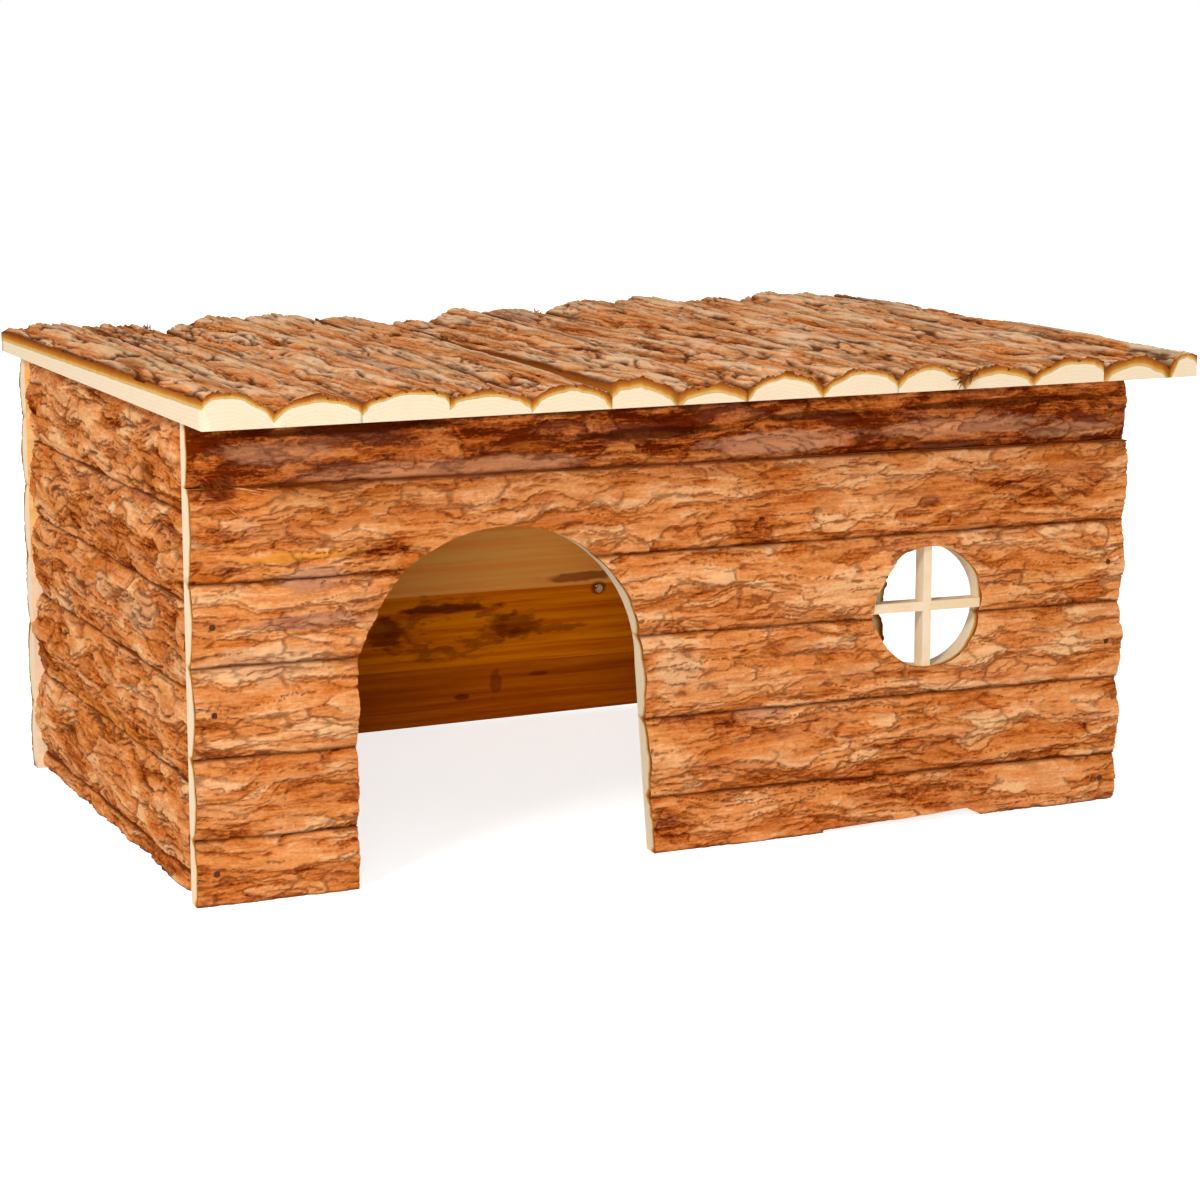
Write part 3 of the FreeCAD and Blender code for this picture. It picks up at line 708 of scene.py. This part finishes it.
class Shader:
    """The nodes of a material or of the world, written as nested calls."""

    def __init__(self, owner):
        owner.use_nodes = True
        self.owner = owner
        self.tree = owner.node_tree
        self.tree.nodes.clear()

    def add(self, kind, inputs, **settings):
        """A node whose inputs are linked to others' outputs or set to plain values."""
        node = self.tree.nodes.new(kind)
        for key, value in settings.items():
            setattr(node, key, value)
        for key, value in inputs.items():
            if isinstance(value, bpy.types.NodeSocket):
                self.tree.links.new(value, node.inputs[key])
            else:
                node.inputs[key].default_value = value
        return node

    def math(self, operation, first, second=0.0):
        return self.add("ShaderNodeMath", {0: first, 1: second}, operation=operation).outputs[0]

    def vector(self, operation, *inputs):
        return self.add("ShaderNodeVectorMath", dict(enumerate(inputs)), operation=operation).outputs

    def scaled(self, value, by):
        return self.math("MULTIPLY", value, by)

    def sum(self, first, *others):
        for other in others:
            first = self.math("ADD", first, other)
        return first

    def ease(self, value, low, high, to_high=1.0, to_low=0.0):
        inputs = {"Value": value, "From Min": low, "From Max": high, "To Min": to_low, "To Max": to_high}
        return self.add("ShaderNodeMapRange", inputs, interpolation_type="SMOOTHSTEP").outputs[0]

    def mix(self, factor, first, second):
        """One colour turning into another; a mix of colours has its inputs at 0, 6 and 7."""
        return self.add("ShaderNodeMix", {0: factor, 6: first, 7: second}, data_type="RGBA").outputs[2]

    def ramp(self, factor, stops):
        node = self.add("ShaderNodeValToRGB", {"Fac": factor})
        ramp = node.color_ramp
        while len(ramp.elements) < len(stops):
            ramp.elements.new(0.5)
        for element, (place, colour) in zip(ramp.elements, stops):
            element.position = place
            element.color = colour
        return node.outputs["Color"]

    def attribute(self, name):
        return self.add("ShaderNodeAttribute", {}, attribute_name=name).outputs["Fac"]

    def place(self):
        return self.add("ShaderNodeTexCoord", {}).outputs["Object"]

    def noise(self, grain, axis=0, turn=0.0):
        """Noise that is drawn out along one axis; each turn has another pattern."""
        scale = [1 / (grain.across * MM)] * 3
        scale[axis] = 1 / (grain.along * MM)
        place = self.add("ShaderNodeMapping", {"Vector": self.place(), "Scale": scale}).outputs[0]
        inputs = {"Vector": place, "W": turn, "Scale": 1.0, "Detail": grain.detail,
                  "Roughness": grain.rough, "Distortion": grain.warp}
        return self.add("ShaderNodeTexNoise", inputs, noise_dimensions="4D").outputs["Fac"]

    def spotted(self, colour, spots, face):
        """The colour with stains or patches on it: ellipses on two axes, with wavering edges."""
        place = self.place()
        waver = self.noise(SPOT_RIM, 2)
        for spot in spots:
            centre = [0.0, 0.0, 0.0]
            shares = [0.0, 0.0, 0.0]
            for axis, middle, reach in zip(face, spot.centre, spot.reach):
                centre[axis] = middle * MM
                shares[axis] = 1 / (reach * MM)
            away = self.vector("MULTIPLY", self.vector("SUBTRACT", place, centre)[0], shares)[0]
            length = self.vector("LENGTH", away)["Value"]
            length = self.sum(length, self.scaled(self.sum(waver, -0.5), spot.waver))
            patch = self.ease(length, *SPOT_FADE, spot.strength)
            if spot.hollow:
                rim = self.ease(length, *(spot.hollow + beside for beside in HOLLOW_FADE))
                patch = self.math("MULTIPLY", patch, rim)
            colour = self.mix(patch, colour, spot.tint)
        return colour

    def seen(self):
        """1 for rays from the camera, straight or by a mirror, and 0 for light."""
        rays = self.add("ShaderNodeLightPath", {}).outputs
        return self.math("MAXIMUM", rays["Is Camera Ray"], rays["Is Glossy Ray"])

    def finish(self, colour, height, bump, roughness):
        """The material with this colour, and with bumps this high in metres."""
        bumps = self.add("ShaderNodeBump", {"Height": height, "Distance": bump, "Strength": 1.0})
        inputs = {"Base Color": colour, "Roughness": roughness, "Normal": bumps.outputs[0],
                  "Specular IOR Level": SHINE}
        surface = self.add("ShaderNodeBsdfPrincipled", inputs).outputs[0]
        self.add("ShaderNodeOutputMaterial", {"Surface": surface})
        return self.owner


BARK_DARK = rgb(88, 28, 2)
BARK_GREY = rgb(196, 138, 102)
BARK_ORANGE = rgb(212, 112, 34)
WOOD_CREAM = rgb(250, 228, 196)
WOOD_SHADE = rgb(245, 215, 171)
WOOD_SPECK = rgb(206, 164, 112)
RAW_TONES = (rgb(246, 222, 176), rgb(226, 186, 126))
BACK_TONES = (rgb(252, 206, 138), rgb(240, 180, 104))
WALL_BARK_TONES = ((0.0, rgb(112, 38, 4)), (0.28, rgb(200, 104, 40)), (0.52, rgb(226, 138, 70)),
                   (0.76, rgb(240, 158, 94)), (1.0, rgb(252, 192, 134)))
ROOF_BARK_TONES = ((0.0, rgb(120, 48, 10)), (0.28, rgb(208, 112, 50)), (0.52, rgb(242, 152, 86)),
                   (0.76, rgb(250, 176, 116)), (1.0, rgb(254, 206, 160)))
CUT_TONES = ((0.0, rgb(136, 68, 24)), (0.3, rgb(174, 96, 34)), (0.65, rgb(208, 134, 50)),
             (1.0, rgb(242, 198, 112)))

# The colours from dark to light, how much lighter than the middle the bark is, how strong its pattern is,
# how grey its weathered places are, and how dark its cracks and its painted shade are.
Look = namedtuple("Look", "tones lighter contrast grey crack")
ROOF_LOOK = Look(ROOF_BARK_TONES, 0.25, 1.3, 0.30, 0.92)
FRONT_LOOK = Look(WALL_BARK_TONES, 0.08, 1.1, 0.25, 0.64)
SIDE_LOOK = Look(WALL_BARK_TONES, 0.11, 1.2, 0.40, 0.80)
BACK_LOOK = Look(WALL_BARK_TONES, 0.08, 1.0, 0.30, 0.68)

# Stains and patches that the photograph shows in known places: where on the two axes of their face, and
# how far they reach, in mm; a hollow one is a ring.
Spot = namedtuple("Spot", "centre reach tint strength waver hollow", defaults=(1.6, 0.0))
GREY_LILAC = rgb(166, 118, 104)
PLATE_CREAM = rgb(240, 198, 152)
LICHEN = rgb(212, 186, 130)
FRESH_ORANGE = rgb(220, 126, 44)
FRESH_YELLOW = rgb(238, 150, 42)
CRACK_AND_SHADOW_BROWN = rgb(58, 14, 2)
PLATE_PINK = rgb(236, 168, 122)
TORN_RED = rgb(118, 34, 6)
KNOT_AND_HOLE_SHADE_BROWN = rgb(98, 30, 2)
SCORCH = rgb(140, 58, 8)
FRONT_SPOTS = (
    Spot((-168, 131), (24, 2.0), FRESH_YELLOW, 0.75, 1.6),
    Spot((-158, 150), (38, 9.0), FRESH_ORANGE, 0.30),
    Spot((-159, 122), (15, 5.0), GREY_LILAC, 0.50),
    Spot((-161, 106), (24, 3.0), GREY_LILAC, 0.50),
    Spot((-177, 91), (26, 8.0), PLATE_CREAM, 0.45),
    Spot((-8, 75), (11, 8.0), PLATE_CREAM, 0.45),
    Spot((30, 53), (12, 3.0), GREY_LILAC, 0.45),
    # The first paints the roof overhang's shadow along the top of the front; the four dark lines below it
    # are cracks in the top row, darkened further as painted shade.
    Spot((0, 182), (215, 5.0), CRACK_AND_SHADOW_BROWN, 0.85, 2.0),
    Spot((-150, 177), (56, 2.2), CRACK_AND_SHADOW_BROWN, 0.85, 1.8),
    Spot((140, 173), (60, 1.8), CRACK_AND_SHADOW_BROWN, 0.75, 2.0),
    Spot((-20, 169), (40, 2.4), CRACK_AND_SHADOW_BROWN, 0.75),
    Spot((49, 172), (30, 2.0), CRACK_AND_SHADOW_BROWN, 0.70),
    Spot((-195, 158), (8, 6.0), TORN_RED, 0.75),
    Spot((-100, 160), (60, 4.0), PLATE_PINK, 0.55),
    Spot((-172, 170), (24, 4.5), PLATE_PINK, 0.50),
    Spot((36, 162), (34, 5.0), PLATE_PINK, 0.70),
    Spot((118, 164), (46, 4.0), PLATE_PINK, 0.55),
    Spot((172, 160), (24, 3.0), PLATE_PINK, 0.50),
)
LEFT_SPOTS = (
    Spot((-7.6, 135.9), (3.0, 3.0), PLATE_CREAM, 0.90),
    Spot((-39.5, 96.3), (9, 3.0), CRACK_AND_SHADOW_BROWN, 0.55),
    Spot((31, 109), (22, 9), FRESH_ORANGE, 0.25),
    Spot((-50, 158), (28, 9), FRESH_ORANGE, 0.30),
    Spot((25, 46), (80, 3.0), FRESH_YELLOW, 0.35),
    Spot((-40, 100), (26, 10), PLATE_CREAM, 0.30),
)
ROOF_SPOTS = (
    Spot((-192, -30), (10, 70), LICHEN, 0.40),
    Spot((-108, -50), (9, 62), GREY_LILAC, 0.40),
    Spot((20, 122), (12, 26), GREY_LILAC, 0.40),
    Spot((-140, -142), (44, 9), FRESH_ORANGE, 0.40),
    Spot((207, -130), (8, 30), WOOD_SHADE, 0.90),
)
BACK_FACE = (0, 2)  # x and z
BACK_INSIDE_SPOTS = (
    Spot((-10, 47), (33, 15), SCORCH, 0.65, 1.8, 0.62),
    Spot((-42, 47), (10, 8.0), KNOT_AND_HOLE_SHADE_BROWN, 0.65, 2.2),
    Spot((24, 46), (13, 7.0), KNOT_AND_HOLE_SHADE_BROWN, 0.60, 2.2),
    Spot((-10, 57), (24, 2.2), KNOT_AND_HOLE_SHADE_BROWN, 0.80, 1.8),
    Spot((40, 43.5), (20, 2.0), KNOT_AND_HOLE_SHADE_BROWN, 0.50, 2.2),
    Spot((57, 67), (20, 2.4), SCORCH, 0.75),
    # painted shade of a small hole by the seam, which is not cut through
    Spot((66, 61), (4.2, 3.6), KNOT_AND_HOLE_SHADE_BROWN, 0.75, 0.8),
    Spot((-4, 14), (4, 1.8), KNOT_AND_HOLE_SHADE_BROWN, 0.70),
    Spot((13, 20), (3, 8.0), KNOT_AND_HOLE_SHADE_BROWN, 0.50, 2.2),
    Spot((34, 22), (6, 1.3), KNOT_AND_HOLE_SHADE_BROWN, 0.60),
)


def bark_colour(shader, axis, look, turn, noises):
    """The bark's own tones, and its fresh and grey places."""
    level = shader.attribute("level")
    parts = [shader.scaled(shader.attribute(mark), weight) for mark, weight in MARK_WEIGHTS.items()]
    parts += [shader.scaled(noise, weight) for noise, weight in zip(noises, NOISE_WEIGHTS)]
    spread = shader.scaled(shader.sum(*parts, -USUAL_SUM), look.contrast)
    colour = shader.ramp(shader.sum(spread, shader.attribute("tone"), 0.5 + look.lighter), look.tones)
    fresh = shader.ease(shader.noise(FRESH_PATCH, axis, shader.sum(turn, FRESH_TURN)), *FRESH_FADE)
    fresh = shader.math("MULTIPLY", fresh, shader.ease(level, *FRESH_LEVELS))
    colour = shader.mix(fresh, colour, BARK_ORANGE)
    grey = shader.noise(GREY_PATCH, axis, shader.sum(turn, GREY_TURN))
    return shader.mix(shader.ease(grey, *GREY_FADE, look.grey), colour, BARK_GREY)


def cut_colour(shader, axis, turn, blotch):
    """The layers on a cut face, which the depth under the smooth bark tells apart, and where it is wood."""
    depth = shader.attribute("depth")
    waves = shader.noise(WAVES, axis, turn)
    moved = shader.sum(depth, shader.scaled(shader.noise(FUZZ, axis, turn), FUZZ_DEPTH),
                       shader.scaled(waves, WAVES_DEPTH), -(FUZZ_DEPTH + WAVES_DEPTH) / 2)
    layer = shader.sum(shader.attribute("layer"), shader.scaled(shader.attribute("joint"), JOINT_LAYER))
    rind = shader.ramp(shader.math("DIVIDE", moved, layer), CUT_TONES)
    rings = shader.sum(depth, shader.scaled(blotch, RING_WAVER))
    ring = shader.math("SINE", shader.scaled(rings, RING_RATE))
    wood = shader.mix(shader.ease(ring, *RING_FADE), WOOD_CREAM, WOOD_SHADE)
    wood = shader.mix(shader.ease(waves, *WAVES_FADE), wood, WOOD_SHADE)
    wood = shader.mix(shader.ease(shader.noise(PORES, axis, turn), *PORES_FADE), wood, WOOD_SPECK)
    bare = shader.ease(shader.math("SUBTRACT", moved, layer), 0.0, INNER_BARK)
    return shader.mix(bare, rind, wood), bare


def bark_material(name, axis, face, look, spots):
    """Bark, with the layers under it where it is cut."""
    shader = Shader(bpy.data.materials.new(name))
    turn = shader.scaled(shader.attribute("board"), BARK_TURNS)
    blotch, streak, speck = [shader.noise(grain, axis, turn) for grain in (BLOTCH, STREAK, SPECK)]
    colour = shader.spotted(bark_colour(shader, axis, look, turn, (blotch, streak, speck)), spots, face)
    colour = shader.mix(shader.ease(speck, *SPECK_FADE), colour, BARK_DARK)
    # dark cracks, fissures and furrows, with painted shadow below sheet edges and in brad pits
    colour = shader.mix(shader.scaled(shader.attribute("crack"), look.crack), colour, BARK_DARK)
    # painted shade along the joints between boards
    colour = shader.mix(shader.scaled(shader.attribute("joint"), JOINT_PAINTED_SHADE), colour, BARK_DARK)
    layers, bare = cut_colour(shader, axis, turn, blotch)
    cut = shader.attribute("cut")
    height = shader.scaled(shader.sum(streak, speck), GRAIN_HEIGHT)
    wood = shader.math("MULTIPLY", bare, cut)
    height = shader.math("MULTIPLY", height, shader.ease(wood, 0.0, 1.0, WOOD_HEIGHT, 1.0))
    return shader.finish(shader.mix(cut, colour, layers), height, bump=0.8 * MM, roughness=0.82)


def sawn_material(name, axis, pale, deep, spots=(), raw_beyond=None):
    """A flat sawn face: long grain with darker late wood, and stains on it."""
    shader = Shader(bpy.data.materials.new(name))
    turn = shader.scaled(shader.attribute("board"), SAWN_TURNS)
    grain = shader.noise(SAWN_GRAIN, axis, turn)
    fibre = shader.noise(SAWN_FIBRE, axis, turn)
    late_wood = shader.ease(grain, *SAWN_GRAIN_FADE)
    colour = shader.mix(late_wood, pale, deep)
    colour = shader.mix(shader.ease(fibre, *SAWN_FIBRE_FADE), colour, deep)
    colour = shader.spotted(colour, spots, BACK_FACE)
    if raw_beyond:
        raw = shader.mix(late_wood, WOOD_CREAM, WOOD_SHADE)
        across = shader.add("ShaderNodeSeparateXYZ", {0: shader.place()}).outputs["X"]
        for limit, outward in zip(raw_beyond, (-MM, MM)):
            colour = shader.mix(shader.ease(across, limit, limit + outward), colour, raw)
    return shader.finish(colour, shader.sum(fibre, grain), bump=0.25 * MM, roughness=0.6)


def stick_material():
    """Planed wood. The sticks run in x and in z, so its noises are short in y."""
    shader = Shader(bpy.data.materials.new("planed_stick"))
    fibre = shader.noise(STICK_FIBRE, 1)
    grain = shader.ease(shader.noise(STICK_GRAIN, 1), *STICK_GRAIN_FADE)
    colour = shader.mix(grain, WOOD_CREAM, WOOD_SHADE)
    colour = shader.mix(shader.ease(fibre, *STICK_FIBRE_FADE), colour, WOOD_SPECK)
    return shader.finish(colour, fibre, bump=0.2 * MM, roughness=0.65)


def brad_material():
    """Dull steel."""
    shader = Shader(bpy.data.materials.new("brad_steel"))
    wear = shader.noise(WEAR)
    colour = shader.mix(wear, rgb(66, 38, 24), rgb(110, 70, 48))
    return shader.finish(colour, wear, bump=0.03 * MM, roughness=0.8)


# ---- build ----
LOOKS = {
    "roof": (ROOF_LOOK, ROOF_SPOTS),
    "front": (FRONT_LOOK, FRONT_SPOTS),
    "left_side": (SIDE_LOOK, LEFT_SPOTS),
    "right_side": (SIDE_LOOK, ()),
    "back": (BACK_LOOK, ()),
}
ROOM_WIDTH = (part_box("left_side_board_1")[1][0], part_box("right_side_board_1")[0][0])


def rows_of(prefix):
    """The nodes of one wall or of the roof, as a list of rows; a doorway cuts some rows in two nodes."""
    rows = {}
    for node in sorted(NODES):
        if node.startswith(prefix + "_board_"):
            number = int(node[len(prefix) + len("_board_"):].split("_")[0])
            rows.setdefault(number, []).append(node)
    return [rows[number] for number in sorted(rows)]


def back_inside(name, pale, deep):
    """The back wall's inner face, which the side walls' ends divide into the room and two raw strips."""
    return sawn_material(name, 0, pale, deep, BACK_INSIDE_SPOTS, ROOM_WIDTH)


# The lower back boards seen through the doorway, darker towards the bottom.
BACK_INSIDES = {
    4: back_inside("sawn_back_matte", rgb(255, 184, 92), rgb(255, 156, 66)),
    5: back_inside("sawn_back_oily", rgb(248, 142, 10), rgb(210, 94, 2)),
    6: back_inside("sawn_back_dull", rgb(210, 106, 10), rgb(172, 72, 2)),
}
for panel in PANELS:
    axis = list(panel.along).index(1)
    face = [k for k in range(3) if not panel.outward[k]]
    short_name = panel.name.split("_")[0]
    bark = bark_material("bark_" + short_name, axis, face, *LOOKS[panel.name])
    sawn_tones = BACK_TONES if panel.name == "back" else RAW_TONES
    sawn = sawn_material("sawn_" + short_name, axis, *sawn_tones)
    for number, row in enumerate(rows_of(panel.name), start=1):
        board = Board(panel, number, row)
        inside = BACK_INSIDES.get(number, sawn) if panel.name == "back" else sawn
        for node in row:
            dress_board(board, node, bark, inside)

STICK = stick_material()
STEEL = brad_material()
for node, piece in NODES.items():
    if node.startswith("window_bar"):
        piece.data.materials[0] = STICK
    if node.endswith("brads"):
        piece.data.materials[0] = STEEL


# ---- floor, light, camera ----
FLOOR_HALF = 30.0  # metres
FLOOR_GREY = (0.9, 0.9, 0.9, 1.0)
FLOOR_GLOW = 0.75  # strength near the house of the white that only the camera sees
GLOW_FADE = (0.30, 0.75)  # metres from the house at which the floor turns plain white
SKY = 0.46  # strength of the white world on the house
NEAR_CLIP = 0.05  # metres

# Where the lamps stand and aim and how large they are, in metres, and their power in watts.
LAMPS = (
    ("key", Vector((-1.55, -1.1, 1.5)), Vector((0, 0, 0.1)), 0.6, 21.0),
    ("fill", Vector((-1.1, -2.25, 0.22)), Vector((0, 0, 0.08)), 0.8, 22.5),
)


def white_floor():
    """A pale floor that takes the house's shadow and fades to plain white for the camera."""
    mesh = bpy.data.meshes.new("floor")
    corners = [(x * FLOOR_HALF, y * FLOOR_HALF, 0) for x, y in ((-1, -1), (1, -1), (1, 1), (-1, 1))]
    mesh.from_pydata(corners, [], [(0, 1, 2, 3)])
    floor = new_object("floor", mesh)
    shader = Shader(bpy.data.materials.new("floor"))
    far = shader.ease(shader.vector("LENGTH", shader.place())["Value"], *GLOW_FADE)
    glow = shader.sum(FLOOR_GLOW, shader.scaled(far, 1.0 - FLOOR_GLOW))
    glow = shader.math("MULTIPLY", shader.seen(), glow)
    diffuse = shader.add("ShaderNodeBsdfDiffuse", {"Color": FLOOR_GREY}).outputs[0]
    light = shader.add("ShaderNodeEmission", {"Color": WHITE, "Strength": glow}).outputs[0]
    both = shader.add("ShaderNodeAddShader", {0: diffuse, 1: light}).outputs[0]
    shader.add("ShaderNodeOutputMaterial", {"Surface": both})
    mesh.materials.append(shader.owner)


def area_lamp(name, place, aim, size, power):
    """A round lamp."""
    lamp = bpy.data.lights.new(name, "AREA")
    lamp.shape = "DISK"
    lamp.size = size
    lamp.energy = power
    light = new_object(name, lamp)
    light.location = place
    light.rotation_euler = (aim - place).to_track_quat("-Z", "Y").to_euler()


def white_world():
    """Plain white for the camera, and a dimmer white light on the house."""
    world = bpy.data.worlds.new("studio")
    bpy.context.scene.world = world
    shader = Shader(world)
    strength = shader.sum(SKY, shader.scaled(shader.seen(), 1.0 - SKY))
    background = shader.add("ShaderNodeBackground", {"Color": WHITE, "Strength": strength}).outputs[0]
    shader.add("ShaderNodeOutputWorld", {"Surface": background})


def photo_camera():
    """The camera that was solved from the photograph."""
    lens = bpy.data.cameras.new("camera")
    lens.lens = LENS
    lens.sensor_fit = "HORIZONTAL"
    lens.sensor_width = SENSOR_WIDTH
    lens.clip_start = NEAR_CLIP
    camera = new_object("camera", lens)
    level_ahead = Vector((math.sin(CAMERA_YAW), math.cos(CAMERA_YAW), 0.0))
    ahead = math.cos(CAMERA_PITCH) * level_ahead - math.sin(CAMERA_PITCH) * Z_AXIS
    right = level_ahead.cross(Z_AXIS)
    up = right.cross(ahead)
    turned_right = math.cos(CAMERA_ROLL) * right + math.sin(CAMERA_ROLL) * up
    turned_up = math.cos(CAMERA_ROLL) * up - math.sin(CAMERA_ROLL) * right
    turn = Matrix((turned_right, turned_up, -ahead)).transposed()
    camera.matrix_world = Matrix.Translation(CAMERA_PLACE) @ turn.to_4x4()
    bpy.context.scene.camera = camera


white_floor()
for lamp in LAMPS:
    area_lamp(*lamp)
white_world()
photo_camera()
bpy.context.scene.view_settings.view_transform = "Standard"
